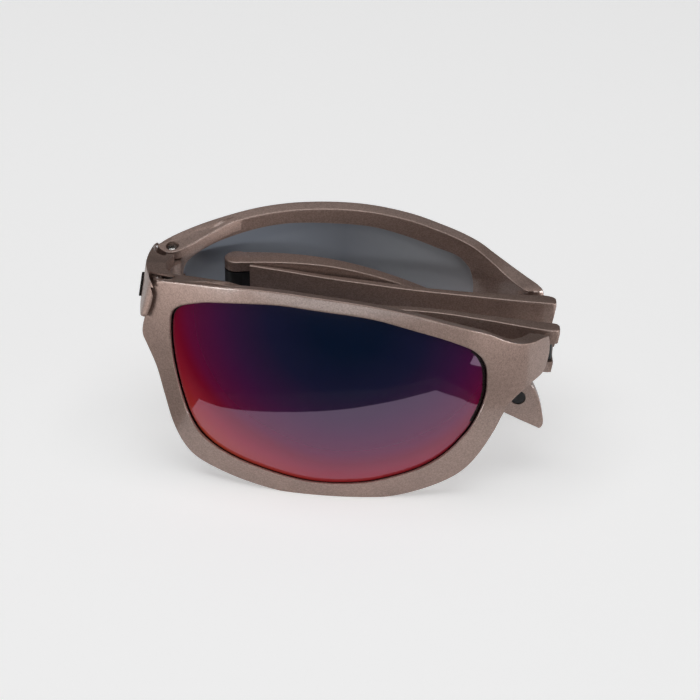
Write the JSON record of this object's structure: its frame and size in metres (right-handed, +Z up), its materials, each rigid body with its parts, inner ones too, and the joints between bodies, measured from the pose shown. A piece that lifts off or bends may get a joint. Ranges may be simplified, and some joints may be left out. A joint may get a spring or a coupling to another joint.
{
  "type": "folding sunglasses",
  "caption": "Folded sunglasses: two curved fronts joined by a hinged bridge link, with temples folded in half between them, standing on the rims.",
  "frame": {"origin": "middle of the lower side of the folded pair, on the surface it stands on", "axes": "+X from the bridge link to the temple hinges, +Y from the left front to the right front, +Z up"},
  "size_m": [0.0765, 0.043, 0.0407],
  "materials": {
    "frame_paint": "satin taupe metallic paint over moulded plastic",
    "lens": "smoke tinted plastic with a red to blue mirror coat outside",
    "trim": "plain dark plate",
    "screw_steel": "bright steel",
    "hinge_black": "black",
    "black_rubber": "matt black"
  },
  "bodies": {
    "bridge": {"bridge_link": "frame_paint", "bridge_trim": "trim", "left_bridge_screw": "screw_steel", "right_bridge_screw": "screw_steel"},
    "left_front": {"left_rim": "frame_paint", "left_lens": "lens", "left_nose_pad": "black_rubber", "left_temple_hinge": "hinge_black"},
    "right_front": {"right_rim": "frame_paint", "right_lens": "lens", "right_nose_pad": "black_rubber", "right_temple_hinge": "hinge_black"},
    "left_temple": {"left_temple_front": "frame_paint", "left_mid_hinge": "hinge_black", "left_temple_screw": "screw_steel"},
    "right_temple": {"right_temple_front": "frame_paint", "right_mid_hinge": "hinge_black", "right_temple_screw": "screw_steel"},
    "left_tip": {"left_temple_rear": "frame_paint", "left_mid_pin": "screw_steel", "left_tip_insert": "black_rubber"},
    "right_tip": {"right_temple_rear": "frame_paint", "right_mid_pin": "screw_steel", "right_tip_insert": "black_rubber"}
  },
  "joints": [
    {"name": "left_bridge_hinge", "type": "hinge", "parent": "bridge", "child": "left_front", "pos_m": [-0.03234, -0.00606, 0.0339], "axis": [0, 0, -1], "range_deg": [0, 56]},
    {"name": "right_bridge_hinge", "type": "hinge", "parent": "bridge", "child": "right_front", "pos_m": [-0.03234, 0.00606, 0.0339], "axis": [0, 0, 1], "range_deg": [0, 56]},
    {"name": "left_temple_hinge", "type": "hinge", "parent": "left_front", "child": "left_temple", "pos_m": [0.03587, -0.00535, 0.02253], "axis": [0, 0, -1], "range_deg": [0, 9]},
    {"name": "right_temple_hinge", "type": "hinge", "parent": "right_front", "child": "right_temple", "pos_m": [0.03587, 0.00535, 0.02253], "axis": [0, 0, 1], "range_deg": [0, 9]},
    {"name": "left_mid_hinge", "type": "hinge", "parent": "left_temple", "child": "left_tip", "pos_m": [-0.02064, -0.00815, 0.03088], "axis": [0, 0, -1], "range_deg": [0, 1.5]},
    {"name": "right_mid_hinge", "type": "hinge", "parent": "right_temple", "child": "right_tip", "pos_m": [-0.02064, 0.00815, 0.03088], "axis": [0, 0, 1], "range_deg": [0, 1.5]}
  ]
}
